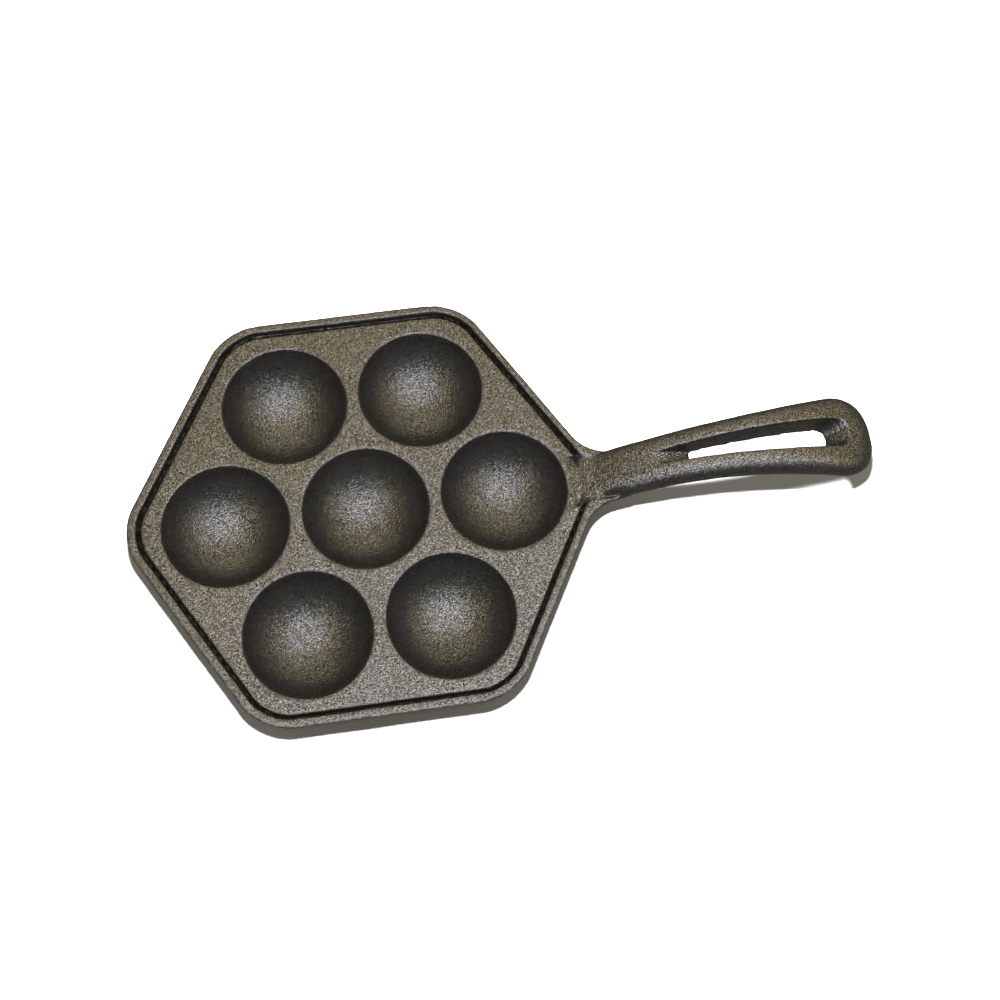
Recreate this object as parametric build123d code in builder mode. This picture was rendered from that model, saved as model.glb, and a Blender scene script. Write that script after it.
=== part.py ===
from build123d import *
from math import cos, radians, sin, sqrt, tan
import os

# Aebleskiver pan, cast in one pour of iron. Lengths in millimetres, angles in degrees, +Z up.
# The origin is the middle of the centre well's foot, on the table. The handle points along +X.
# The casting is cut into its regions, which meet face to face.

# Wells. The bridge is the web between two mouths.
well_mouth = 50.0
well_depth = 22.0
well_bridge = 5.5
well_lip = 0.6
well_floor = 3.5
foot_diameter = 16.0
bowl_gap = 1.1
side_wells = 6

# Web. The margin runs from a side well's mouth to the web's edge.
web_thickness = 5.0
web_margin = 5.44
web_corner_radius = 17.3

# Rim and gutter
rim_width = 2.6
rim_rise = 1.5
rim_edge = 0.6
gutter_width = 2.4
gutter_depth = 2.6
skirt_drop = 6.0
skirt_width = 3.4
skirt_draft = 6.0
mould_shift = 0.8

# Handle from above. Its length starts at the seat, a little past the east well's mouth.
seat_margin = 1.6
handle_length = 120.9
neck_length = 29.0
neck_width = 20.8
neck_straight = 18.0
grip_width = 33.0
grip_end_radius = 12.0
flare_radius = 16.0

# Handle from the side. Heights are above the web, places are along the handle's length.
arch_toe_place = 7.4
arch_toe_radius = 15.0
arch_peak_share = 0.617
arch_peak_height = 19.1
arch_end_height = 9.9
belly_toe_place = 5.9
belly_toe_radius = 8.0
grip_thickness = 9.6
grip_top_edge = 3.2
grip_under_edge = 1.5

# Slot. It starts as a scoop, goes through further on, and ends in a sloping round wall.
slot_margin = 4.4
slot_end_margin = 9.8
slot_start_width = 4.0
slot_end_width = 10.8
slot_start_radius = 1.4
slot_end_radius = 4.4
scoop_length = 15.5
through_slope = 75.0
end_slope = 50.0
slot_draft = 3.0

# One overrun serves every cut, and a corner is rounded to no more than this share of its wall.
# A face is upright or broad by the upward share of its normal.
overrun = 5.0
rounding_share = 0.9
upright_share = 0.2
broad_share = 0.5

# Levels
web_level = well_floor + well_depth
web_under = web_level - web_thickness
rim_top = web_level + rim_rise
gutter_floor = web_level - gutter_depth
skirt_bottom = web_level - skirt_drop
arch_top = web_level + arch_peak_height + overrun

# The well is a ball's cap, and so is the bowl's outside down to its flat foot
mouth_radius = well_mouth / 2
well_pitch = well_mouth + well_bridge
well_radius = (mouth_radius**2 + well_depth**2) / (2 * well_depth)
well_centre_height = well_floor + well_radius
well_under_radius = sqrt(well_radius**2 - (well_centre_height - web_under)**2)
foot_radius = foot_diameter / 2
bowl_root_radius = (well_pitch - bowl_gap) / 2
bowl_centre_height = (web_under**2 + bowl_root_radius**2 - foot_radius**2) / (2 * web_under)
bowl_radius = sqrt(bowl_centre_height**2 + foot_radius**2)

well_names = [
    "well_east", "well_north_east", "well_north_west",
    "well_west", "well_south_west", "well_south_east",
]
well_places = {"well_centre": (0, 0)}
for index, name in enumerate(well_names):
    bearing = radians(360 * index / side_wells)
    well_places[name] = (well_pitch * cos(bearing), well_pitch * sin(bearing))

# The outlines are hexagons round the side wells, with corners rounded about the same centres.
# An apothem is the distance from the middle to a side.
web_apothem = well_pitch * cos(radians(180 / side_wells)) + mouth_radius + web_margin
rim_inner_apothem = web_apothem + gutter_width
rim_apothem = rim_inner_apothem + rim_width
gutter_corner_radius = web_corner_radius + gutter_width
rim_corner_radius = gutter_corner_radius + rim_width
skirt_inner_apothem = rim_apothem - skirt_width
skirt_corner_radius = rim_corner_radius - skirt_width

# Places along +X
seat = well_pitch + mouth_radius + seat_margin
neck_end = seat + neck_length
handle_end = seat + handle_length
arch_peak_place = seat + handle_length * arch_peak_share
slot_start = neck_end + slot_margin
slot_end = handle_end - slot_end_margin
through_start = slot_start + scoop_length

# The handle's sides are straight along the neck, and then each is one arc that spreads outwards.
# It reaches the grip's width where the end's rounding begins, and runs on to the end.
neck_half = neck_width / 2
grip_half = grip_width / 2
spread_start = seat + neck_straight
spread_run = handle_end - grip_end_radius - spread_start
spread_rise = grip_half - neck_half
spread_radius = (spread_run**2 + spread_rise**2) / (2 * spread_rise)


def rounded_hexagon(level, apothem, corner_radius):
    """One of the body's outlines, with a corner on +X."""
    with BuildSketch(Plane.XY.offset(level)) as outline:
        RegularPolygon(apothem, side_wells, major_radius=False)
        fillet(outline.vertices(), radius=corner_radius)
    return outline.sketch


def flared_outline(level):
    """The rim's outer outline, a little off the wells' middle, flared out to the neck's sides."""
    with BuildSketch(Plane((-mould_shift, 0, level))) as outline:
        RegularPolygon(rim_apothem, side_wells, major_radius=False)
        corners = outline.vertices().sort_by(Axis.X)[:-1]
        fillet(corners, radius=rim_corner_radius)
        with BuildLine():
            Polyline(
                (0, -neck_half), (neck_end, -neck_half), (neck_end, neck_half), (0, neck_half),
                close=True,
            )
        make_face()
        crooks = outline.vertices().filter_by(
            lambda corner: corner.X < neck_end and abs(abs(corner.Y) - neck_half) < rim_edge
        )
        fillet(crooks.sort_by(Axis.X)[:2], radius=flare_radius)
    return outline.sketch


def edge_casting():
    """The raised edge all round, with its skirt and gutter, and the ledges beside the neck."""
    with BuildPart() as edge:
        extrude(flared_outline(rim_top), amount=-(rim_rise + skirt_drop), taper=skirt_draft)
        extrude(
            rounded_hexagon(gutter_floor, rim_inner_apothem, gutter_corner_radius),
            amount=arch_top, mode=Mode.SUBTRACT,
        )
        extrude(
            rounded_hexagon(skirt_bottom, web_apothem, web_corner_radius),
            amount=arch_top, mode=Mode.SUBTRACT,
        )
        extrude(
            rounded_hexagon(skirt_bottom, skirt_inner_apothem, skirt_corner_radius),
            amount=web_under - skirt_bottom, mode=Mode.SUBTRACT,
        )
        brims = edge.faces().filter_by(Plane.XY).sort_by(Axis.Z)[-1].edges()
        fillet(brims, radius=rim_edge)
    return edge.part


def spread_half(place):
    """Half of the handle's width along the arc of its sides."""
    return neck_half + spread_radius - sqrt(spread_radius**2 - (place - spread_start)**2)


def handle_outline(level):
    """The handle from above: a straight neck, sides that spread, and a blunt round end."""
    root = seat - overrun
    middle = (spread_start + handle_end) / 2
    end_half = spread_half(handle_end)
    with BuildSketch(Plane.XY.offset(level)) as outline:
        with BuildLine():
            Line((root, neck_half), (spread_start, neck_half))
            ThreePointArc(
                (spread_start, neck_half), (middle, spread_half(middle)), (handle_end, end_half)
            )
            Line((handle_end, end_half), (handle_end, -end_half))
            ThreePointArc(
                (handle_end, -end_half), (middle, -spread_half(middle)), (spread_start, -neck_half)
            )
            Polyline((spread_start, -neck_half), (root, -neck_half), (root, neck_half))
        make_face()
        ends = outline.vertices().group_by(Axis.X)[-1]
        fillet(ends, radius=grip_end_radius)
    return outline.sketch


def arch_height(place):
    """Level of the handle's top on an arc that is flat at its peak."""
    if place < arch_peak_place:
        far_place, far_height = seat + arch_toe_place, 0
    else:
        far_place, far_height = handle_end, arch_end_height
    span = arch_peak_place - far_place
    drop = arch_peak_height - far_height
    radius = (span**2 + drop**2) / (2 * drop)
    return web_level + arch_peak_height - radius + sqrt(radius**2 - (place - arch_peak_place)**2)


def arch_point(place):
    """A point of the handle's top, seen from the side."""
    return (place, arch_height(place))


def handle_side():
    """The handle from the side: an arch on top, a belly below, and toes that fair them in."""
    root = (seat - overrun, web_level)
    arch_toe = (seat + arch_toe_place, web_level)
    arch_peak = arch_point(arch_peak_place)
    arch_end = arch_point(handle_end)
    belly_end = (handle_end, arch_height(handle_end) - grip_thickness)
    belly_peak = (arch_peak_place, arch_height(arch_peak_place) - grip_thickness)
    belly_toe = (seat + belly_toe_place, skirt_bottom)
    with BuildSketch(Plane.XZ) as side:
        with BuildLine():
            Line(root, arch_toe)
            ThreePointArc(arch_toe, arch_point((arch_toe[0] + arch_peak_place) / 2), arch_peak)
            ThreePointArc(arch_peak, arch_point((arch_peak_place + handle_end) / 2), arch_end)
            Line(arch_end, belly_end)
            ThreePointArc(belly_end, belly_peak, belly_toe)
            Polyline(belly_toe, (seat - overrun, skirt_bottom), root)
        make_face()
        fillet(side.vertices().sort_by_distance(arch_toe)[0], radius=arch_toe_radius)
        fillet(side.vertices().sort_by_distance(belly_toe)[0], radius=belly_toe_radius)
    return side.sketch


def handle_bar():
    """The whole handle without its slot: side and plan crossed, and the edges rounded."""
    with BuildPart() as bar:
        extrude(handle_side(), amount=grip_width, both=True)
        extrude(handle_outline(0), amount=arch_top, mode=Mode.INTERSECT)
        for facing, radius in ((-1, grip_under_edge), (1, grip_top_edge)):
            sides = bar.faces().filter_by(
                lambda face: abs(face.normal_at().Z) < upright_share and face.center().X > seat
            )
            broad = bar.faces().filter_by(lambda face: face.normal_at().Z * facing > broad_share)
            fillet([edge for edge in sides.edges() if edge in broad.edges()], radius=radius)
    return bar.part


def slot_half(place, level):
    """Half of the slot's width: it widens towards the end and upwards."""
    widening = (slot_end_width - slot_start_width) / (slot_end - slot_start) / 2
    lift = level - arch_height(slot_start)
    return (
        slot_start_width / 2 + (place - slot_start) * widening + lift * tan(radians(slot_draft))
    )


def slot_trapezoid(level, start, end):
    """The slot at one level, from one place to another, with its corners rounded."""
    start_half = slot_half(start, level)
    end_half = slot_half(end, level)
    with BuildSketch(Plane.XY.offset(level)) as outline:
        with BuildLine():
            Polyline(
                (start, -start_half), (end, -end_half), (end, end_half), (start, start_half),
                close=True,
            )
        make_face()
        starts = outline.vertices().group_by(Axis.X)[0]
        fillet(starts, radius=min(slot_start_radius, start_half * rounding_share))
        ends = outline.vertices().group_by(Axis.X)[-1]
        fillet(ends, radius=min(slot_end_radius, end_half * rounding_share))
    return outline.sketch


def through_slot(level):
    """The part of the slot that goes through, at one level between its sloping ends."""
    start_lift = level - arch_height(through_start)
    end_lift = level - arch_height(slot_end)
    return slot_trapezoid(
        level,
        through_start - start_lift / tan(radians(through_slope)),
        slot_end + end_lift / tan(radians(end_slope)),
    )


os.makedirs("parts", exist_ok=True)

casting_edge = edge_casting()
casting_bar = handle_bar()
seat_plane = Plane((seat, 0, web_level), z_dir=(1, 0, 0))
neck_plane = Plane((neck_end, 0, web_level), z_dir=(1, 0, 0))

# The web between the wells. Each mouth is cut by its well's own ball.
with BuildPart() as cooking_plate:
    extrude(rounded_hexagon(web_level, web_apothem, web_corner_radius), amount=-web_thickness)
    with Locations(*[(x, y, well_centre_height) for x, y in well_places.values()]):
        Sphere(well_radius, mode=Mode.SUBTRACT)
    mouths = (
        cooking_plate.edges().filter_by(GeomType.CIRCLE).group_by(Axis.Z)[-1]
        .filter_by(lambda edge: abs(edge.radius - mouth_radius) < well_lip)
    )
    fillet(mouths, radius=well_lip)
    split(bisect_by=seat_plane, keep=Keep.BOTTOM)
cooking_plate.part.label = "cooking_plate"
export_step(cooking_plate.part, "parts/cooking_plate.step")

# The raised edge with the gutter's floor and the skirt, round to the handle's root.
with BuildPart() as rim:
    add(casting_edge)
    split(bisect_by=seat_plane, keep=Keep.BOTTOM)
rim.part.label = "rim"
export_step(rim.part, "parts/rim.step")

# The bowls under the web, one for each well, each on a flat foot.
for name, (x, y) in well_places.items():
    bowl_middle = web_under / 2
    well_middle = (web_under + well_floor) / 2
    with BuildPart() as well:
        with BuildSketch(Plane((x, y, 0), x_dir=(1, 0, 0), z_dir=(0, -1, 0))):
            with BuildLine():
                Line((0, 0), (foot_radius, 0))
                ThreePointArc(
                    (foot_radius, 0),
                    (sqrt(bowl_radius**2 - (bowl_centre_height - bowl_middle)**2), bowl_middle),
                    (bowl_root_radius, web_under),
                )
                Line((bowl_root_radius, web_under), (well_under_radius, web_under))
                ThreePointArc(
                    (well_under_radius, web_under),
                    (sqrt(well_radius**2 - (well_centre_height - well_middle)**2), well_middle),
                    (0, well_floor),
                )
                Line((0, well_floor), (0, 0))
            make_face()
        revolve(axis=Axis((x, y, 0), (0, 0, 1)))
    well.part.label = name
    export_step(well.part, f"parts/{name}.step")

# The handle's root. The ledges of the rim run out beside it, and its own top rises from the web.
# Between the ledges the handle keeps its square upper corners, and past them they are rounded.
with BuildPart() as handle_neck:
    add(casting_edge)
    with BuildSketch(Plane.XZ):
        add(handle_side())
        with Locations(((seat + neck_end) / 2, web_level)):
            Rectangle(neck_length + overrun, arch_top, align=(Align.CENTER, Align.MIN))
    extrude(amount=rim_apothem, both=True, mode=Mode.INTERSECT)
    with BuildSketch(Plane.XY.offset(skirt_bottom + grip_under_edge)):
        with Locations((seat, 0)):
            Rectangle(neck_length * 2, neck_width)
    extrude(amount=arch_top, mode=Mode.SUBTRACT)
    with BuildSketch(Plane.XZ):
        add(handle_side())
        with Locations((0, grip_under_edge)):
            add(handle_side(), mode=Mode.INTERSECT)
        with Locations((seat, rim_top)):
            Rectangle(
                handle_length * 2, arch_top, align=(Align.CENTER, Align.MIN), mode=Mode.SUBTRACT
            )
    extrude(amount=neck_half, both=True)
    extrude(rounded_hexagon(web_level, web_apothem, web_corner_radius), amount=-web_thickness)
    add(casting_bar)
    extrude(
        rounded_hexagon(skirt_bottom, skirt_inner_apothem, skirt_corner_radius),
        amount=web_under - skirt_bottom, mode=Mode.SUBTRACT,
    )
    split(bisect_by=seat_plane, keep=Keep.TOP)
    split(bisect_by=neck_plane, keep=Keep.BOTTOM)
handle_neck.part.label = "handle_neck"
export_step(handle_neck.part, "parts/handle_neck.step")

# The scoop that leads into the slot, sloping down from the arch to where the slot goes through.
scoop_foot = arch_height(through_start) - grip_thickness
scoop_end = through_start + overrun
with BuildPart() as scoop:
    loft(
        sections=[slot_trapezoid(level, slot_start, slot_end) for level in (scoop_foot, arch_top)],
        ruled=True,
    )
    with BuildSketch(Plane.XZ):
        with BuildLine():
            Polyline(
                arch_point(slot_start), (through_start, scoop_foot), (scoop_end, scoop_foot),
                (scoop_end, arch_top), (slot_start, arch_top),
                close=True,
            )
        make_face()
    extrude(amount=grip_half, both=True, mode=Mode.INTERSECT)

# The grip, with its slot.
with BuildPart() as handle_grip:
    add(casting_bar)
    add(scoop.part, mode=Mode.SUBTRACT)
    loft(
        sections=[through_slot(web_level), through_slot(arch_top)],
        ruled=True, mode=Mode.SUBTRACT,
    )
    split(bisect_by=neck_plane, keep=Keep.TOP)
handle_grip.part.label = "handle_grip"
export_step(handle_grip.part, "parts/handle_grip.step")
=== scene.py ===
# %% [markdown]
# An aebleskiver pan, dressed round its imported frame.
#
# The real pan is one sand casting: a hexagonal web with seven round wells, a narrow gutter, a
# low rim, and an arched handle with a slot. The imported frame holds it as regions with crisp
# edges. A casting has no crisp edge: sand rounds every corner and leaves a grain on every face.
#
# The plan follows the foundry. First come the pattern's forms, each a closed shape from bmesh
# operators. Then one voxel remesh fuses them, as the melt fills the mould, and smoothing
# rounds the corners. Displacement then gives the sand's grain as real geometry. Last, the
# casting is cut into pieces that stand for the frame's regions.

# %% Load the frame
from math import atan2, cos, pi, radians, sin, sqrt, tan

import bmesh
import bpy
import numpy as np
from mathutils import Matrix, Vector


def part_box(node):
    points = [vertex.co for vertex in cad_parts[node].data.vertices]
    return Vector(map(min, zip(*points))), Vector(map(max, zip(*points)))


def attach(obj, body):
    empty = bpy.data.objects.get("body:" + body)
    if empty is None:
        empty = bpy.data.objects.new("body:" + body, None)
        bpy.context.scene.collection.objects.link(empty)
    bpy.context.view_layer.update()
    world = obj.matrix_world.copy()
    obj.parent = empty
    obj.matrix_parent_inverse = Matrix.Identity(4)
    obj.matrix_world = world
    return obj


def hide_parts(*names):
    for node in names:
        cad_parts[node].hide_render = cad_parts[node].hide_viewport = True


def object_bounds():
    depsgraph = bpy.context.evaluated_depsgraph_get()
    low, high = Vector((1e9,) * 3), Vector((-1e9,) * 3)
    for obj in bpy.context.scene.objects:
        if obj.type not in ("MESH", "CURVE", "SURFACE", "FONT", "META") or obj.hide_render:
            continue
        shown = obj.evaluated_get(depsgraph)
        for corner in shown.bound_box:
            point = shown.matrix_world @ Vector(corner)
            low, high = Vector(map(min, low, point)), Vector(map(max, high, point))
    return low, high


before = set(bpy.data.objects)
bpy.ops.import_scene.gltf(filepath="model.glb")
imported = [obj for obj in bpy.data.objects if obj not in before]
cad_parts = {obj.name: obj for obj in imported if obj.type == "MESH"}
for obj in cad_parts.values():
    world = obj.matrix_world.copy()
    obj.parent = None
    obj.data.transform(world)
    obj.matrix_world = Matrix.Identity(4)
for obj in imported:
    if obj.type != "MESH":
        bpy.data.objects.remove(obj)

cad_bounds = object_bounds()
print("the frame holds", len(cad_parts), "regions of one casting")

# %% [markdown]
# Sizes. What the frame knows is read from its boxes, so the looks can't drift from the
# construction. The rest are the casting's own sizes, in millimetres times MM, because Blender
# works in metres. The skin stands up to 0.8 mm proud of the frame at the web and the rim, and
# 1.6 mm at the handle's round end, where the real casting is a little fuller. The pattern sat
# half a millimetre off the middle of its mould, so outlines carry a small shift.

# %% Sizes from the frame, and the casting's own
MM = 0.001
web_proud = 0.6 * MM
rim_proud = 0.8 * MM

web_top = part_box("cooking_plate")[1].z
web_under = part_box("cooking_plate")[0].z
web_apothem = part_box("cooking_plate")[1].y + web_proud
rim_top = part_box("rim")[1].z
skirt_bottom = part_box("rim")[0].z
rim_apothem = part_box("rim")[1].y + rim_proud
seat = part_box("handle_neck")[0].x
neck_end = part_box("handle_grip")[0].x
handle_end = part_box("handle_grip")[1].x

well_nodes = sorted(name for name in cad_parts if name.startswith("well_"))
well_centres = {name: (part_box(name)[0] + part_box(name)[1]) / 2 for name in well_nodes}
bowl_root = (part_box("well_centre")[1].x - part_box("well_centre")[0].x) / 2

mouth_radius = 25.0 * MM
well_floor = 3.5 * MM
foot_radius = 8.0 * MM
lip_radius = 0.6 * MM

web_corner = 17.3 * MM
gutter_width = 1.8 * MM
gutter_depth = 3.2 * MM
rim_width = 3.3 * MM
mould_shift = 0.4 * MM
pattern_shift = 0.5 * MM
skirt_draft = 6.0

neck_half = 10.4 * MM
grip_half = 16.5 * MM
spread_start = seat + 18.0 * MM
grip_corner = 15.0 * MM
grip_bulge = 1.6 * MM
handle_lean = 0.6 * MM
flare_radius = 16.0 * MM

print("web at", round(web_top / MM, 1), "mm, rim at", round(rim_top / MM, 1), "mm")

# %% [markdown]
# Helpers for flat outlines. An outline is a face whose corners are rounded by a vertex bevel.
# A bevel's offset is the distance along the edge, so a radius is turned into one by the
# tangent of half the corner's turn. A slab keeps only the outlines' edges, fills between them
# in one go, which leaves the inner outlines as holes, and extrudes the result.

# %% Outlines and slabs
forms = []
merge_distance = 0.001 * MM
circle_steps = 96


def add_form(name, bm):
    """A finished bmesh becomes an object, with its faces pointing outwards."""
    bmesh.ops.remove_doubles(bm, verts=bm.verts[:], dist=merge_distance)
    bmesh.ops.recalc_face_normals(bm, faces=bm.faces[:])
    if bm.calc_volume(signed=True) < 0:
        bmesh.ops.reverse_faces(bm, faces=bm.faces[:])
    mesh = bpy.data.meshes.new(name)
    bm.to_mesh(mesh)
    bm.free()
    form = bpy.data.objects.new(name, mesh)
    bpy.context.scene.collection.objects.link(form)
    return form


def round_corners(bm, verts, radius, turn, segments=12):
    """Rounds corners that each turn the outline by turn degrees."""
    bmesh.ops.bevel(
        bm, geom=verts, offset=radius * tan(radians(turn / 2)), offset_type="OFFSET",
        affect="VERTICES", segments=segments, profile=0.5, material=-1,
    )


def hexagon(bm, apothem, corner_radius):
    """A hexagon with a corner on +X, its corners rounded."""
    place = Matrix.Translation((0, pattern_shift, 0)) @ Matrix.Rotation(radians(30), 4, "Z")
    made = bmesh.ops.create_circle(
        bm, cap_ends=True, radius=apothem / cos(radians(30)), segments=6, matrix=place
    )
    round_corners(bm, made["verts"], corner_radius, 60)


def slab(name, bm, top, bottom, draft=0.0):
    """The flat region between the outlines in bm, from one level to another."""
    bmesh.ops.delete(bm, geom=bm.faces[:], context="FACES_ONLY")
    bmesh.ops.triangle_fill(bm, edges=bm.edges[:], use_beauty=True, normal=(0, 0, 1))
    bmesh.ops.translate(bm, verts=bm.verts[:], vec=(0, 0, top))
    extruded = bmesh.ops.extrude_face_region(bm, geom=bm.faces[:])
    lower = [part for part in extruded["geom"] if isinstance(part, bmesh.types.BMVert)]
    shrink = 1 - (top - bottom) * tan(radians(draft)) / rim_apothem
    bmesh.ops.scale(bm, verts=lower, vec=(shrink, shrink, 1))
    bmesh.ops.translate(bm, verts=lower, vec=(0, 0, bottom - top))
    form = add_form(name, bm)
    forms.append(form)
    return form


# %% [markdown]
# Helpers for modifiers. A modifier such as a boolean stays live until its result is taken as
# the object's new mesh. Here each result is taken at once, so that later steps see it.

# %% Booleans and baked modifiers


def bake(obj):
    """Replaces an object's mesh by what its modifiers make of it."""
    evaluated = obj.evaluated_get(bpy.context.evaluated_depsgraph_get())
    mesh = bpy.data.meshes.new_from_object(evaluated)
    obj.modifiers.clear()
    obj.data = mesh


def boolean(obj, operation, tool, solver):
    """Applies one boolean between two objects."""
    cut = obj.modifiers.new(operation.lower(), "BOOLEAN")
    cut.operation, cut.object, cut.solver = operation, tool, solver
    bake(obj)


# %% [markdown]
# The web and the gutter. The web is a flat plate with seven round holes, a little wider than
# the mouths, because the wells bring their own lips. It could be cut by seven booleans, but
# filling between outlines makes the same plate with clean edges and no cutter. The gutter
# catches spilled batter. On the real pan it is a V between the web and the rim, so it is a
# ring with a V in its section, made of rounded hexagons that are joined one to the next.

# %% Web and gutter
overlap = 1.2 * MM
opening_radius = mouth_radius + lip_radius + overlap / 2
gutter_floor = web_top - gutter_depth
rim_inside = rim_apothem - rim_width

bm = bmesh.new()
hexagon(bm, web_apothem, web_corner)
for centre in well_centres.values():
    bmesh.ops.create_circle(
        bm, cap_ends=False, radius=opening_radius, segments=circle_steps,
        matrix=Matrix.Translation((centre.x, centre.y, 0)),
    )
slab("web_form", bm, web_top, web_under)


def hexagonal_ring(name, section):
    """A closed ring whose section is given as apothems and heights."""
    bm = bmesh.new()
    loops = []
    for apothem, height in section:
        outline = bmesh.new()
        hexagon(outline, apothem, web_corner + apothem - web_apothem)
        [face] = outline.faces
        loops.append([bm.verts.new((vert.co.x, vert.co.y, height)) for vert in face.verts])
        outline.free()
    for near, far in zip(loops, loops[1:] + loops[:1]):
        for i in range(len(near)):
            bm.faces.new((near[i - 1], near[i], far[i], far[i - 1]))
    form = add_form(name, bm)
    forms.append(form)
    return form


gutter_form = hexagonal_ring("gutter_form", [
    (web_apothem - overlap, web_under), (web_apothem - overlap, web_top),
    (web_apothem, web_top), ((web_apothem + rim_inside) / 2, gutter_floor),
    (rim_inside, web_top), (rim_inside + overlap, web_top), (rim_inside + overlap, web_under),
])
print("gutter:", len(gutter_form.data.polygons), "faces")

# %% [markdown]
# The handle's lines. Seen from the side, its top is level at the root, then arches up and
# falls a little towards its end, and its underside is one arc. Seen from above, a straight
# neck spreads along an arc. A curve object could be drawn by eye for each of them. They are
# written as functions of the place along the handle instead, because the rim's flare, the
# handle and its slot all have to follow the same lines.

# %% Lines of the handle
bar_thickness = 9.6 * MM
top_edge = 6.0 * MM
under_edge = 3.0 * MM
slice_step = 2.0 * MM
edge_start = seat + 6.0 * MM
edge_full = seat + 15.0 * MM

toe = seat + 7.4 * MM
toe_blend = 4.3 * MM
peak_share = 0.617
peak = seat + peak_share * (handle_end - seat)
peak_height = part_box("handle_grip")[1].z
end_height = web_top + 9.9 * MM
belly_toe = seat + 5.9 * MM
end_thinning = 1.2 * MM


def circle_through(a, b, c):
    """The circle through three points of the XZ plane: its centre's x and z, and its radius."""
    rows = np.array([[b[0] - a[0], b[1] - a[1]], [c[0] - a[0], c[1] - a[1]]])
    squares = np.array([b[0] ** 2 + b[1] ** 2, c[0] ** 2 + c[1] ** 2]) - a[0] ** 2 - a[1] ** 2
    x, z = np.linalg.solve(2 * rows, squares)
    return x, z, sqrt((a[0] - x) ** 2 + (a[1] - z) ** 2)


def on_arc_flat_at_peak(place, far_place, far_height):
    """Height of an arc that is level at the handle's peak and passes a far point."""
    span, drop = peak - far_place, peak_height - far_height
    radius = (span**2 + drop**2) / (2 * drop)
    return peak_height - radius + sqrt(radius**2 - (place - peak) ** 2)


def arch_height(place):
    """Level of the handle's top: flat at the root, then an arch, with a smooth toe between."""
    if place >= peak:
        return on_arc_flat_at_peak(place, handle_end, end_height)
    slope = tan(2 * atan2(peak_height - web_top, peak - toe))
    blend = min(max(place - toe + toe_blend, 0), 2 * toe_blend)
    eased = slope * blend**2 / (4 * toe_blend)
    if place <= toe:
        return web_top + eased
    rise = on_arc_flat_at_peak(place, toe, web_top) - web_top
    return web_top + rise - slope * (place - toe) + eased + slope * max(place - toe - toe_blend, 0)


belly = circle_through(
    (belly_toe, skirt_bottom), (peak, peak_height - bar_thickness),
    (handle_end, end_height - bar_thickness + end_thinning),
)


def belly_height(place):
    """Level of the handle's underside."""
    if place <= belly_toe:
        return skirt_bottom
    return belly[1] + sqrt(belly[2] ** 2 - (place - belly[0]) ** 2)


def spread_half(place):
    """Half of the handle's width: a straight neck, then sides that spread along an arc."""
    run, rise = handle_end - grip_corner - spread_start, grip_half - neck_half
    radius = (run**2 + rise**2) / (2 * rise)
    return neck_half + radius - sqrt(radius**2 - max(place - spread_start, 0) ** 2)


print("handle: peak", round(peak_height / MM, 1), "mm up at", round(peak / MM, 1), "mm out")

# %% [markdown]
# The rim. Its outer outline isn't a plain hexagon: at the handle it flares out into the neck
# by two wide curves. So the outline is drawn as a polygon of nine corners, the corners and
# the two crooks are rounded, and the rim is what lies between it and the gutter. The two
# halves of the mould didn't meet quite true, so the outer outline sits a little to the west.

# %% Rim with its flare
corner_reach = rim_apothem / cos(radians(30))
crook_reach = corner_reach - neck_half / tan(radians(60))
strip_end = neck_end - 6.0 * MM

bm = bmesh.new()
corners = []
for bearing in (60, 120, 180, 240, 300):
    x = corner_reach * cos(radians(bearing)) - mould_shift
    y = corner_reach * sin(radians(bearing)) + pattern_shift
    corners.append(bm.verts.new((x, y, 0)))
crooks = [bm.verts.new((crook_reach - mould_shift, side * neck_half, 0)) for side in (-1, 1)]
strip = [bm.verts.new((strip_end, side * neck_half, 0)) for side in (-1, 1)]
bm.faces.new([*corners, crooks[0], *strip, crooks[1]])
round_corners(bm, corners, web_corner + gutter_width + rim_width, 60)
round_corners(bm, crooks, flare_radius, 60)
hexagon(bm, rim_inside, web_corner + gutter_width)
rim_form = slab("rim_form", bm, rim_top, skirt_bottom, draft=skirt_draft)
print("rim form:", len(rim_form.data.polygons), "faces")

# %% [markdown]
# The flare under the handle. The skirt can't run on below the neck, where the handle already
# rises, so the flare is sliced across and its underside is lifted to the handle's. Between
# the two arms of the flare a channel is taken out down to the handle's top, so that the web
# can run out into the handle and the raised edge stays a narrow ledge along each side.

# %% Flare fitted to the handle
ledge_width = 1.0 * MM
channel_half = neck_half - ledge_width
channel_start = seat - 6.0 * MM
channel_end = strip_end + 1.0 * MM
flare_gap = 0.2 * MM


def slice_across(bm, start, end, step):
    """Cuts a mesh by planes across the handle."""
    for place in np.arange(start, end, step):
        bmesh.ops.bisect_plane(
            bm, geom=bm.verts[:] + bm.edges[:] + bm.faces[:], dist=merge_distance,
            plane_co=(place, 0, 0), plane_no=(1, 0, 0),
        )


bm = bmesh.new()
bm.from_mesh(rim_form.data)
slice_across(bm, belly_toe, strip_end, slice_step)
for vert in bm.verts:
    if vert.co.x > belly_toe and vert.co.z < web_under:
        vert.co.z = max(vert.co.z, belly_height(vert.co.x) + flare_gap)
bm.to_mesh(rim_form.data)
bm.free()

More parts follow.
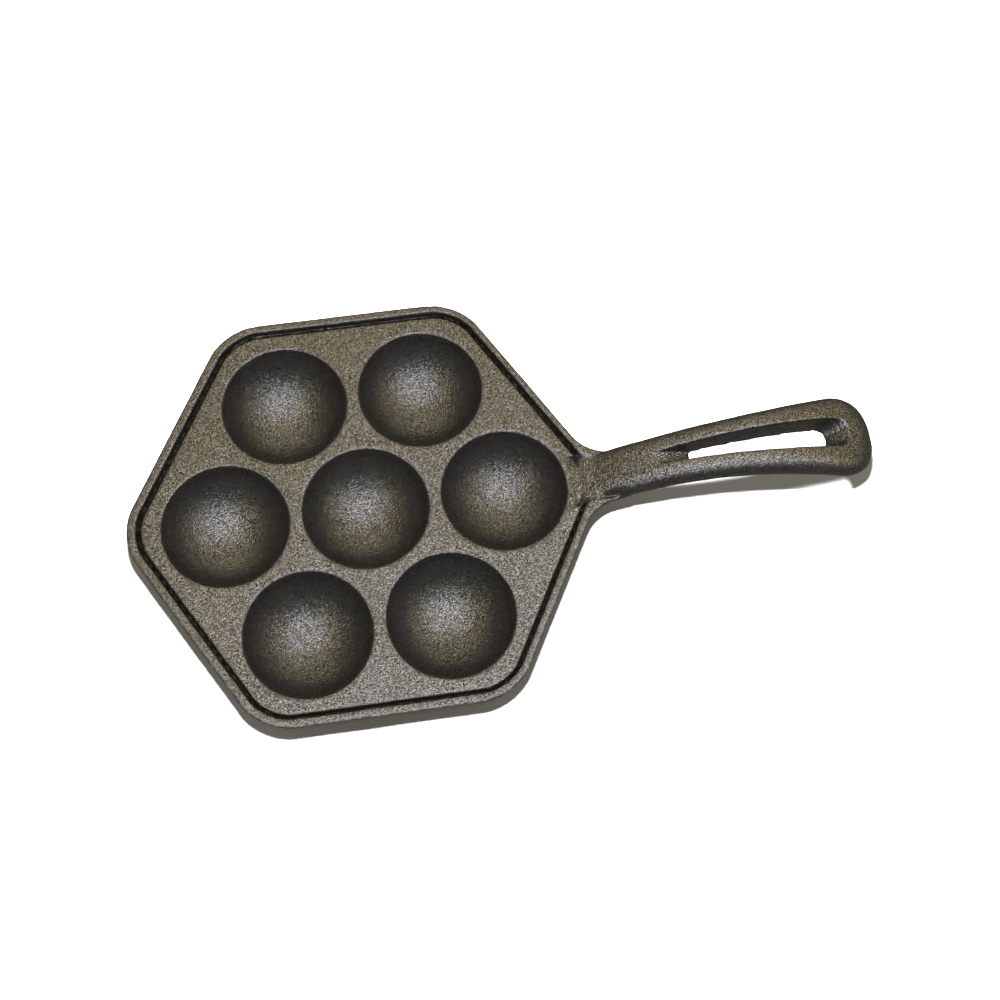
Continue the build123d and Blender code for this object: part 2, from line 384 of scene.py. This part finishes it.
bm = bmesh.new()
bmesh.ops.create_cube(bm, size=1.0)
bmesh.ops.scale(bm, verts=bm.verts[:], vec=(channel_end - channel_start, 2 * channel_half, 1.0))
bmesh.ops.translate(bm, verts=bm.verts[:], vec=((channel_start + channel_end) / 2, 0, 0))
slice_across(bm, channel_start + slice_step, channel_end, slice_step)
for vert in bm.verts:
    vert.co.z = peak_height if vert.co.z > 0 else arch_height(vert.co.x)
channel = add_form("channel_cutter", bm)
boolean(rim_form, "DIFFERENCE", channel, "EXACT")
bpy.data.objects.remove(channel)
print("flare:", len(rim_form.data.polygons), "faces")

# %% [markdown]
# The wells. Each is a bowl with a ball-shaped inside, a softly rounded lip and a small flat
# foot. A bowl is a turned shape, so its section is drawn once and spun about its axis. The
# section's own arcs are spins too: a single vertex spun about a centre leaves an arc of edges.
# The lip's arc touches both the ball and the web, so the light runs over it without a line.

# %% Wells
well_depth = web_top - well_floor
well_radius = (mouth_radius**2 + well_depth**2) / (2 * well_depth)
ball_height = well_floor + well_radius
lip_height = web_top - lip_radius
lip_centre = sqrt((well_radius + lip_radius) ** 2 - (ball_height - lip_height) ** 2)
lip_angle = atan2(lip_centre, ball_height - lip_height)
bowl_height = (web_under**2 + bowl_root**2 - foot_radius**2) / (2 * web_under)
bowl_angle = atan2(bowl_root, bowl_height - web_under) - atan2(foot_radius, bowl_height)
inside_steps, lip_steps, outside_steps, turn_steps = 48, 8, 40, 128


def arc(bm, vert, centre, angle, steps):
    """An arc of edges in the XZ plane, from vert about a centre. Returns its last vertex."""
    made = bmesh.ops.spin(bm, geom=[vert], cent=centre, axis=(0, 1, 0), angle=angle, steps=steps)
    return made["geom_last"][0]


def line(bm, vert, place):
    """An edge from vert to a place. Returns its last vertex."""
    made = bmesh.ops.extrude_vert_indiv(bm, verts=[vert])
    made["verts"][0].co = place
    return made["verts"][0]


for name, centre in well_centres.items():
    bm = bmesh.new()
    end = bm.verts.new((0, 0, well_floor))
    end = arc(bm, end, (0, 0, ball_height), -lip_angle, inside_steps)
    end = arc(bm, end, (lip_centre, 0, lip_height), lip_angle, lip_steps)
    end = line(bm, end, (bowl_root, 0, web_top))
    end = line(bm, end, (bowl_root, 0, web_under))
    end = arc(bm, end, (0, 0, bowl_height), bowl_angle, outside_steps)
    end = line(bm, end, (0, 0, 0))
    bmesh.ops.spin(
        bm, geom=bm.verts[:] + bm.edges[:], cent=(0, 0, 0), axis=(0, 0, 1), angle=2 * pi,
        steps=turn_steps, use_merge=True,
    )
    bmesh.ops.translate(bm, verts=bm.verts[:], vec=(centre.x, centre.y, 0))
    forms.append(add_form(f"{name}_form", bm))
print("wells:", len(well_centres), "bowls, each of", len(forms[-1].data.polygons), "faces")

# %% [markdown]
# The handle. It is a bar that arches up from the rim and spreads towards a blunt round end.
# It could be lofted from sections, but a smith's way is shorter: make a straight bar, round
# its end and its edges while it is straight, slice it, and then bend it. Each slice is moved
# so that the rounded zones along the edges keep their size while the core between them gives.
# The end also swells towards its middle, because the real one is egg-shaped and not square.

# %% Handle bar
near_enough = 0.01 * MM


def along_x(edge, place):
    """Whether an edge lies across the bar at a place."""
    return all(abs(vert.co.x - place) < near_enough for vert in edge.verts)


def at_height(edge, height):
    """Whether an edge lies at one height."""
    return all(abs(vert.co.z - height) < near_enough for vert in edge.verts)


bulge_start = handle_end - 1.5 * grip_corner
least_side = 0.5 * MM

bm = bmesh.new()
bmesh.ops.create_cube(bm, size=1.0)
bmesh.ops.scale(bm, verts=bm.verts[:], vec=(handle_end - seat, 2 * grip_half, bar_thickness))
bmesh.ops.translate(
    bm, verts=bm.verts[:], vec=((seat + handle_end) / 2, 0, -bar_thickness / 2)
)
upright = [e for e in bm.edges if along_x(e, handle_end) and not at_height(e, e.verts[0].co.z)]
bmesh.ops.bevel(
    bm, geom=upright, offset=grip_corner, offset_type="OFFSET", affect="EDGES", segments=16,
    profile=0.5, material=-1,
)
for height, radius, segments in ((0.0, top_edge, 10), (-bar_thickness, under_edge, 8)):
    brim = [e for e in bm.edges if at_height(e, height) and not along_x(e, seat)]
    bmesh.ops.bevel(
        bm, geom=brim, offset=radius, offset_type="OFFSET", affect="EDGES",
        segments=segments, profile=0.5, material=-1,
    )
slice_across(bm, seat + slice_step, handle_end, slice_step)
core = grip_half - top_edge
for vert in bm.verts:
    past = np.interp(vert.co.x, [bulge_start, handle_end], [0, grip_bulge])
    vert.co.x += past * (1 - (vert.co.y / grip_half) ** 2)
    half = spread_half(vert.co.x)
    top, under = arch_height(vert.co.x), belly_height(vert.co.x)
    rounded = np.interp(vert.co.x, [edge_start, edge_full], [0, top_edge])
    lifted = min(under_edge, top - under - rounded - least_side)
    across = np.interp(abs(vert.co.y), [0, core, grip_half], [0, half - top_edge, half])
    vert.co.y = across if vert.co.y > 0 else -across
    vert.co.z = np.interp(
        vert.co.z,
        [-bar_thickness, under_edge - bar_thickness, -top_edge, 0],
        [under, under + lifted, top - rounded, top],
    )
bar = add_form("handle_form", bm)
print("bar:", len(bar.data.polygons), "faces")

# %% [markdown]
# The slot's sizes. A pattern draws out of the sand only if its walls lean, so the slot is
# wider on top, its far end slopes, and near the neck it starts as a shallow scoop before it
# goes through. It also widens towards the handle's end and bows out in the middle. Heights
# are counted from the handle's top, so that the slot can be drawn as for a straight bar.

# %% Sizes of the slot
slot_start = neck_end + 3.4 * MM
slot_end = handle_end - 9.5 * MM
through_start = slot_start + 15.5 * MM
slot_start_width = 4.9 * MM
slot_end_width = 12.0 * MM
slot_draft = 8.5
slot_bow = 0.10
through_slope = 75.0
end_slope = 48.0
start_corner = 0.8 * MM
end_corner = 3.9 * MM
cut_overrun = 1.0 * MM
cut_high = 4.0 * MM
cut_low = belly_height(through_start) - arch_height(through_start) - cut_overrun
slot_middle = (slot_start + slot_end) / 2


def share_of_slot(place):
    """How far along the slot a place is, from 0 at its start to 1 at its end."""
    return (place - slot_start) / (slot_end - slot_start)


def slot_half(place, height):
    """Half of the slot's width: it widens towards the end and upwards."""
    flat = slot_start_width + (slot_end_width - slot_start_width) * share_of_slot(place)
    return flat / 2 + height * tan(radians(slot_draft))


print("slot:", round((slot_end - slot_start) / MM, 1), "mm long")

# %% [markdown]
# The slot's cutters. One is the hole that goes through and the other is the scoop before it.
# Each is the solid between two matching outlines, with its upright corners rounded. It could
# be modelled in its final place, but it is simpler to draw it straight and to bend it by the
# same function as the bar. A boolean then takes it out of the bar. Last, the handle is pushed
# sideways, more towards its end, because the one on the real pan leans a little.

# %% Slot cut into the handle


def cutter(name, near, far, rounded):
    """The bent solid between two matching outlines, with some of its joining edges rounded."""
    bm = bmesh.new()
    for outline in (near, far):
        bm.faces.new([bm.verts.new(point) for point in outline])
    bmesh.ops.bridge_loops(bm, edges=bm.edges[:])
    for chosen, radius in rounded:
        edges = [e for e in bm.edges if e.is_valid and chosen(e)]
        bmesh.ops.bevel(
            bm, geom=edges, offset=radius, offset_type="OFFSET", affect="EDGES", segments=8,
            profile=0.5, material=-1,
        )
    slice_across(bm, slot_start + slice_step / 2, handle_end, slice_step)
    for vert in bm.verts:
        share = min(max(share_of_slot(vert.co.x), 0), 1)
        vert.co.y *= 1 + slot_bow * 4 * share * (1 - share)
        vert.co.z += arch_height(vert.co.x)
    return add_form(name, bm)


def slot_outline(height):
    """The four corners of the through slot at one height."""
    start = through_start - (height - cut_low) / tan(radians(through_slope))
    end = slot_end + height / tan(radians(end_slope))
    low, high = slot_half(start, height), slot_half(end, height)
    return [(start, -low, height), (end, -high, height), (end, high, height), (start, low, height)]


def joins_levels(edge):
    """Whether an edge of the cutter runs from its low outline to its high one."""
    return abs(edge.verts[0].co.z - edge.verts[1].co.z) > (cut_high - cut_low) / 2


through = cutter(
    "through_cutter", slot_outline(cut_low), slot_outline(cut_high),
    [
        (lambda e: joins_levels(e) and e.verts[0].co.x < slot_middle, start_corner),
        (lambda e: joins_levels(e) and e.verts[0].co.x > slot_middle, end_corner),
    ],
)

scoop_run = through_start - slot_start
scoop_end = through_start + cut_overrun
scoop_depth = 8.0 * MM
scoop_slope = [(0, 0), (0.3, 1.6 * MM), (0.7, 5.0 * MM), (1.0, scoop_depth)]
scoop_section = [(slot_start + share * scoop_run, -depth) for share, depth in scoop_slope]
scoop_section += [(scoop_end, -scoop_depth), (scoop_end, cut_high), (slot_start, cut_high)]


def stands_at_start(edge):
    """Whether an edge of the cutter stands upright where the slot starts."""
    return along_x(edge, slot_start) and abs(edge.verts[0].co.z - edge.verts[1].co.z) > MM


scoop = cutter(
    "scoop_cutter",
    [(x, -slot_half(x, z), z) for x, z in scoop_section],
    [(x, slot_half(x, z), z) for x, z in scoop_section],
    [(stands_at_start, start_corner)],
)

for tool in (through, scoop):
    boolean(bar, "DIFFERENCE", tool, "EXACT")
    bpy.data.objects.remove(tool)
for vert in bar.data.vertices:
    lean = np.interp(vert.co.x, [seat, handle_end], [pattern_shift, pattern_shift + handle_lean])
    vert.co.y += lean
forms.append(bar)
print("handle with its slot:", len(bar.data.polygons), "faces")

# %% [markdown]
# The melt. All forms overlap a little where they join. A voxel remesh of them together keeps
# only the outside, so they become one casting with even, small faces. A chain of booleans
# could join them too, but it would leave long thin faces that smooth badly.

# %% Fuse the forms into one casting
voxel = 0.58 * MM

bm = bmesh.new()
for form in forms:
    bm.from_mesh(form.data)
    bpy.data.objects.remove(form)
casting = add_form("casting", bm)
fuse = casting.modifiers.new("fuse", "REMESH")
fuse.mode, fuse.voxel_size, fuse.use_smooth_shade = "VOXEL", voxel, True
bake(casting)
print("casting:", len(casting.data.polygons), "faces")

# %% [markdown]
# Two marks at the handle's root. One is a soft dip where the web runs out into the handle,
# deeper at its sides. The other is a short groove at the near side. They could be sculpted by
# hand, but a bell curve taken off the vertices' heights gives the same soft hollow on each
# run. It moves all vertices above the gutter's floor. Under the groove that presses the
# handle's underside down too, out of sight from above.

# %% Dip and groove at the handle's root
dip_place = 85.0 * MM
dip_width = 2.4 * MM
dip_depth = 0.9 * MM
dip_side_depth = 2.0 * MM
groove_place = Vector((97.5, -8.4)) * MM
groove_reach = Vector((3.6, 1.0)) * MM
groove_depth = 2.0 * MM


def vertex_places(mesh):
    """The places of a mesh's vertices, one row each."""
    places = np.empty(len(mesh.vertices) * 3)
    mesh.vertices.foreach_get("co", places)
    return places.reshape(-1, 3)


spots = vertex_places(casting.data)
across = np.abs(spots[:, 1]) / neck_half
on_neck = (across < 1) & (spots[:, 2] > gutter_floor)
dip = dip_depth + (dip_side_depth - dip_depth) * across**3
dip = dip * np.exp(-(((spots[:, 0] - dip_place) / dip_width) ** 2))
spots[on_neck, 2] -= dip[on_neck]
away = (spots[:, :2] - groove_place) / groove_reach
groove = groove_depth * np.exp(-(away**2).sum(axis=1))
on_top = spots[:, 2] > gutter_floor
spots[on_top, 2] -= groove[on_top]
casting.data.vertices.foreach_set("co", spots.ravel())
print("deepest dip", round(dip[on_neck].max() / MM, 1), "mm")

# %% [markdown]
# Soft corners. Sand can't hold a crisp corner. Bevels on the forms would miss the seams where
# they were fused, so the whole skin is smoothed instead. That rounds every corner and fills
# every crook by about half a millimetre, also in the marks just made.

# %% Soften the corners
corner_rounds = 2
corner_pull = 0.5

soften = casting.modifiers.new("soften", "SMOOTH")
soften.factor, soften.iterations = corner_pull, corner_rounds
bake(casting)
print("softened", corner_rounds, "times")

# %% [markdown]
# The grain. Sand leaves low waves a centimetre or two long, lumps and a rough skin one to
# three millimetres long, and the marks of single grains below that. A bump in the material
# could give them all. But all except the single grains are large enough to be real geometry,
# so three Displace modifiers with cloud textures push the skin in and out, each by about a
# tenth of a millimetre or less. Cloud textures are the same on each run.

# %% Sand grain as geometry
skin_waves = [
    ("mould_wave", 14.0 * MM, 0.22 * MM, "SOFT_NOISE"),
    ("sand_lump", 2.6 * MM, 0.10 * MM, "SOFT_NOISE"),
    ("sand_grain", 1.3 * MM, 0.10 * MM, "HARD_NOISE"),
]
for name, size, depth, kind in skin_waves:
    clouds = bpy.data.textures.new(name, "CLOUDS")
    clouds.noise_scale, clouds.noise_depth, clouds.noise_type = size, 1, kind
    push = casting.modifiers.new(name, "DISPLACE")
    push.texture, push.strength, push.mid_level = clouds, depth, 0.5
    push.texture_coords = "LOCAL"
bake(casting)
print("grain:", len(skin_waves), "layers of clouds on", len(casting.data.vertices), "vertices")

# %% [markdown]
# The cut. The frame names eleven regions of the one casting, so the finished skin is cut along
# the same lines: the wells just under the web, the web from the rim in the gutter's floor,
# and the handle across its seat and its neck. Each cutter is a plain solid. What lies in it
# is the region, and for the rim what lies outside it. The cuts run where the skin is dark or
# flat, so they don't show from above. The east well's cutter reaches a little past the seat,
# so a sliver under the web belongs both to that well and to the neck.

# %% Cut the casting into its regions
cut_margin = 12.0 * MM
bowl_cut = web_under - 1.2 * MM
gutter_cut = web_apothem + gutter_width / 2
well_cut = bowl_root + 0.5 * MM


def block(low, high):
    """A box between two corners, as a bmesh."""
    bm = bmesh.new()
    bmesh.ops.create_cube(bm, size=1.0)
    bmesh.ops.scale(bm, verts=bm.verts[:], vec=high - low)
    bmesh.ops.translate(bm, verts=bm.verts[:], vec=(low + high) / 2)
    return bm


def region(name, cutter_bm, operation="INTERSECT", source=None):
    """What lies in, or outside, a cutter, as a piece of its own."""
    piece = bpy.data.objects.new(name, (source or casting).data)
    bpy.context.scene.collection.objects.link(piece)
    tool = add_form(f"{name}_cutter", cutter_bm)
    boolean(piece, operation, tool, "MANIFOLD")
    bpy.data.objects.remove(tool)
    return piece


pieces = {}
reach = Vector((1, 1, 1)) * cut_margin
low, high = (corner.copy() for corner in cad_bounds)
low, high = low - reach, high + reach

grip_block = block(Vector((neck_end, low.y, low.z)), high)
pieces["cast_handle_grip"] = (region("cast_handle_grip", grip_block), ["handle_grip"])

neck_block = block(Vector((seat, low.y, low.z)), Vector((neck_end, high.y, high.z)))
pieces["cast_handle_neck"] = (region("cast_handle_neck", neck_block), ["handle_neck"])

plate = region("plate", block(Vector((low.x, low.y, bowl_cut)), Vector((seat, high.y, high.z))))
for name, prism_operation, node in (
    ("cast_web", "INTERSECT", "cooking_plate"), ("cast_rim", "DIFFERENCE", "rim")
):
    bm = bmesh.new()
    hexagon(bm, gutter_cut, web_corner + gutter_width / 2)
    bmesh.ops.translate(bm, verts=bm.verts[:], vec=(0, 0, low.z))
    prism = bmesh.ops.extrude_face_region(bm, geom=bm.faces[:])
    upper = [part for part in prism["geom"] if isinstance(part, bmesh.types.BMVert)]
    bmesh.ops.translate(bm, verts=upper, vec=(0, 0, high.z - low.z))
    pieces[name] = (region(name, bm, prism_operation, plate), [node])
bpy.data.objects.remove(plate)

for node, centre in well_centres.items():
    place = Matrix.Translation((centre.x, centre.y, (bowl_cut + low.z) / 2))
    bm = bmesh.new()
    bmesh.ops.create_cone(
        bm, cap_ends=True, segments=circle_steps, radius1=well_cut, radius2=well_cut,
        depth=bowl_cut - low.z, matrix=place,
    )
    pieces[f"cast_{node}"] = (region(f"cast_{node}", bm), [node])
bpy.data.objects.remove(casting)

crease_angle = 50.0
iron_pieces = [piece for piece, nodes in pieces.values()]
for piece in iron_pieces:
    mesh = piece.data
    mesh.shade_smooth()
    mesh.set_sharp_from_angle(angle=radians(crease_angle))
    print(piece.name, "has", len(mesh.loops) - 2 * len(mesh.polygons), "triangles")

# %% [markdown]
# Painted shade in the gutter. The gutter is a deep, narrow V, and its shade is painted into the
# colour as a dull brown black. Where it lies is worked out once for each vertex and kept with the
# mesh as an attribute: it starts a little under the web's level, between the rounded hexagons on
# both sides of the gutter. Such an outline is a smaller sharp hexagon grown by the corner radius,
# so the distance from the sharp one tells how far out a point lies.

# %% Painted shade in the gutter
shade_start = 0.5 * MM
shade_full = 1.2 * MM
shade_end = 6.0 * MM
shade_inside = web_apothem - 1.5 * MM
shade_outside = rim_inside + 0.6 * MM
core_apothem = web_apothem - web_corner


def outwards(spots):
    """How far out points lie, as the apothem of the rounded hexagon through them."""
    x, y = np.abs(spots[:, 0]), np.abs(spots[:, 1] - pattern_shift)
    side = core_apothem * tan(radians(30))
    inner, nearest = np.full(len(x), -np.inf), np.full(len(x), np.inf)
    for bearing in (30, 90):
        out = x * cos(radians(bearing)) + y * sin(radians(bearing)) - core_apothem
        along = y * cos(radians(bearing)) - x * sin(radians(bearing))
        past = np.maximum(np.abs(along) - side, 0)
        inner, nearest = np.maximum(inner, out), np.minimum(nearest, np.hypot(out, past))
    return core_apothem + np.where(inner > 0, nearest, inner)


# Painted shade: a weight for the gutter's dark, which the material mixes into the colour.
for piece in iron_pieces:
    spots = vertex_places(piece.data)
    out, below = outwards(spots), web_top - spots[:, 2]
    inside = (out > shade_inside) & (out < shade_outside) & (below < shade_end)
    painted_shade = np.interp(below, [shade_start, shade_full], [0, 1]) * inside
    layer = piece.data.attributes.new("gutter_shade", "FLOAT", "POINT")
    layer.data.foreach_set("value", painted_shade)
    print(piece.name, "has crust on", int((painted_shade > 0.5).sum()), "of", len(painted_shade), "vertices")

# %% [markdown]
# Helpers for materials. Screen colours are given as sRGB hex values, as a colour picker shows
# them, but Blender mixes light with linear values, so one function turns them. A material is
# a tree of nodes, and another function adds a node with all that belongs to it.

# %% Colours and nodes


def linear(hex_colour):
    """An sRGB hex colour as linear RGBA."""
    channels = [int(hex_colour[i:i + 2], 16) / 255 for i in (0, 2, 4)]
    return [c / 12.92 if c <= 0.04045 else ((c + 0.055) / 1.055) ** 2.4 for c in channels] + [1]


def add_node(tree, kind, inputs=None, links=None, **settings):
    """Adds one node with its settings, its constant inputs and its incoming links."""
    node = tree.nodes.new(kind)
    for name, value in settings.items():
        setattr(node, name, value)
    for socket, value in (inputs or {}).items():
        node.inputs[socket].default_value = value
    for socket, source in (links or {}).items():
        tree.links.new(source, node.inputs[socket])
    return node


# %% [markdown]
# The finish. It is seasoned grey iron, cast in green sand and never machined. Oil baked on in
# many firings leaves a dark film, thin enough for the iron under it to give a soft metallic
# sheen. The eye sees fine bright and dark speckles, because each sand grain left a tiny cup
# that faces its own way and holds its own share of soot. So cells of half a millimetre give
# both the bumps and the tone. Real grains are nearer 0.2 mm, and are drawn coarser so that
# they show at this distance. The sheen drifts slowly from place to place. The gutter's shade
# is painted in as a flat brown black.

# %% Material: seasoned sand-cast iron
grain_size = 0.5 * MM
grain_slope = 0.34
drift_size = 30 * MM
glossiest, dullest = 0.19, 0.27
# The last colour is painted shade for the gutter.
soot, bare_iron, gutter_shade_colour = "2d2c2a", "787774", "2a2824"

iron = bpy.data.materials.new("seasoned_sand_cast_iron")
iron.use_nodes = True
tree = iron.node_tree
tree.nodes.clear()

place = add_node(tree, "ShaderNodeTexCoord").outputs["Object"]
grains = add_node(
    tree, "ShaderNodeTexVoronoi", {"Scale": 1 / grain_size}, {"Vector": place},
    feature="F1", voronoi_dimensions="3D",
)
caps = add_node(
    tree, "ShaderNodeMath", None,
    {0: grains.outputs["Distance"], 1: grains.outputs["Distance"]}, operation="MULTIPLY",
)
bump = add_node(
    tree, "ShaderNodeBump", {"Strength": 1.0, "Distance": grain_slope * grain_size},
    {"Height": caps.outputs["Value"]}, invert=True,
)
tone = add_node(
    tree, "ShaderNodeMix", {6: linear(soot), 7: linear(bare_iron)},
    {0: grains.outputs["Color"]}, data_type="RGBA",
)
# Painted shade: the gutter's dark colour is mixed in by the weight kept on each vertex.
painted_shade = add_node(tree, "ShaderNodeAttribute", attribute_name="gutter_shade")
coloured = add_node(
    tree, "ShaderNodeMix", {7: linear(gutter_shade_colour)},
    {0: painted_shade.outputs["Fac"], 6: tone.outputs[2]}, data_type="RGBA",
)
drift = add_node(
    tree, "ShaderNodeTexNoise", {"Scale": 1 / drift_size, "Detail": 3.0}, {"Vector": place}
)
sheen = add_node(
    tree, "ShaderNodeMapRange", {"To Min": glossiest, "To Max": dullest},
    {"Value": drift.outputs["Fac"]},
)
shader = add_node(
    tree, "ShaderNodeBsdfPrincipled", {"Metallic": 0.9},
    {
        "Base Color": coloured.outputs[2], "Roughness": sheen.outputs["Result"],
        "Normal": bump.outputs["Normal"],
    },
)
add_node(tree, "ShaderNodeOutputMaterial", None, {"Surface": shader.outputs["BSDF"]})

for piece, nodes in pieces.values():
    piece.data.materials.clear()
    piece.data.materials.append(iron)
    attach(piece, "root")
    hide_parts(*nodes)
print("finish:", iron.name, "on", len(pieces), "pieces")

# %% [markdown]
# The floor and the sky. The pan stands on plain white paper that runs out of view. A real
# sheet would throw light back on the pan. This one is hidden from reflected and scattered
# rays, so that the iron is shaded by the lamps and a dim even sky alone.

# %% Floor and sky
floor_half = 4.0
floor_gap = 0.15 * MM
sky_strength = 0.216

bm = bmesh.new()
bmesh.ops.create_grid(bm, x_segments=1, y_segments=1, size=floor_half)
bmesh.ops.translate(bm, verts=bm.verts[:], vec=(0, 0, -floor_gap))
floor = add_form("studio_floor", bm)
paper = bpy.data.materials.new("matt_white_paper")
paper.use_nodes = True
paper_shader = paper.node_tree.nodes["Principled BSDF"]
paper_shader.inputs["Base Color"].default_value = linear("f9f9f8")
paper_shader.inputs["Roughness"].default_value = 0.9
paper_shader.inputs["Specular IOR Level"].default_value = 0.0
floor.data.materials.append(paper)
floor.visible_glossy = floor.visible_diffuse = False

sky = bpy.data.worlds.new("studio_sky")
sky.use_nodes = True
sky.node_tree.nodes["Background"].inputs["Color"].default_value = linear("fff8e8")
sky.node_tree.nodes["Background"].inputs["Strength"].default_value = sky_strength
bpy.context.scene.world = sky
print("floor:", round(floor_gap / MM, 2), "mm under the feet of the pan")

# %% [markdown]
# The lamps. Three broad softboxes hang over the pan, and their reflections shade the wells:
# cool and bright on the near slopes, warm on the far ones, dark towards the lips. A weak lamp
# at the lens adds a cool glint. The floor has two small lamps of its own, which burn it out to
# white and leave the narrow shadow under the handle. One set of lamps could serve both, but
# linked lamps light only their receivers, so the floor's brightness leaves the iron alone.

# %% Lamps
softbox_x = 0.30
softbox_height = 0.9
pan_middle = Vector((0.02, 0, 0))
handle_middle = Vector((0.15, 0, 0))


def soft_lamp(name, sizes, power, place, target, receivers, colour="ffffff"):
    """A rectangular soft lamp that faces a target and lights only its receivers."""
    light = bpy.data.lights.new(name, "AREA")
    light.shape, light.energy, light.color = "RECTANGLE", power, linear(colour)[:3]
    light.size, light.size_y = sizes
    lamp = bpy.data.objects.new(name, light)
    lamp.location = place
    lamp.rotation_euler = (target - place).to_track_quat("-Z", "Y").to_euler()
    bpy.context.scene.collection.objects.link(lamp)
    group = bpy.data.collections.new(f"{name}_receivers")
    for receiver in receivers:
        group.objects.link(receiver)
    lamp.light_linking.receiver_collection = group


softboxes = [
    ("near_softbox", -0.45, (2.2, 0.3), 8.8, "f4fdf4"),
    ("middle_softbox", -0.15, (2.2, 0.3), 7.1, "ffdd83"),
    ("far_softbox", 0.90, (2.2, 0.6), 12.9, "fff2c9"),
]
for name, y, sizes, power, colour in softboxes:
    place = Vector((softbox_x, y, softbox_height))
    straight_down = place + Vector((0, 0, -1))
    soft_lamp(name, sizes, power, place, straight_down, iron_pieces, colour)

lens_lamp = Vector((75, -165, 575)) * MM
floor_lamp_near = Vector((20, -101, 598)) * MM
floor_lamp_far = Vector((50, 86, 300)) * MM
soft_lamp("lamp_at_the_lens", (0.02, 0.02), 2.2, lens_lamp, pan_middle, iron_pieces, "b0c4ff")
soft_lamp("floor_lamp_near", (0.016, 0.016), 6.0, floor_lamp_near, pan_middle, [floor])
soft_lamp("floor_lamp_far", (0.02, 0.02), 3.2, floor_lamp_far, handle_middle, [floor])
bpy.context.scene.view_settings.view_transform = "Standard"
print("lamps:", len(softboxes), "softboxes and three small lamps")

# %% [markdown]
# The camera. It looks down from in front at seventy degrees above the floor, with a slight
# roll, through a normal lens. It could be aimed by a constraint, but then the roll would have
# to be set apart. So its axes are given by two directions, to its right and ahead.

# %% Camera
eye = Vector((13.1, -194.8, 564.0)) * MM
right = Vector((0.9893, -0.1441, 0.0225))
ahead = Vector((0.0699, 0.333, -0.9403))
lens, sensor = 51.88, 36.0
nearest_view = 0.01

view_up = right.cross(ahead).normalized()
axes = Matrix((right.normalized(), view_up, -ahead.normalized())).transposed()
camera_data = bpy.data.cameras.new("camera")
camera_data.lens, camera_data.sensor_width = lens, sensor
camera_data.clip_start = nearest_view
camera = bpy.data.objects.new("camera", camera_data)
camera.location = eye
camera.rotation_euler = axes.to_euler()
bpy.context.scene.collection.objects.link(camera)
bpy.context.scene.camera = camera
print("camera:", round(eye.length, 2), "m from the middle of the pan")
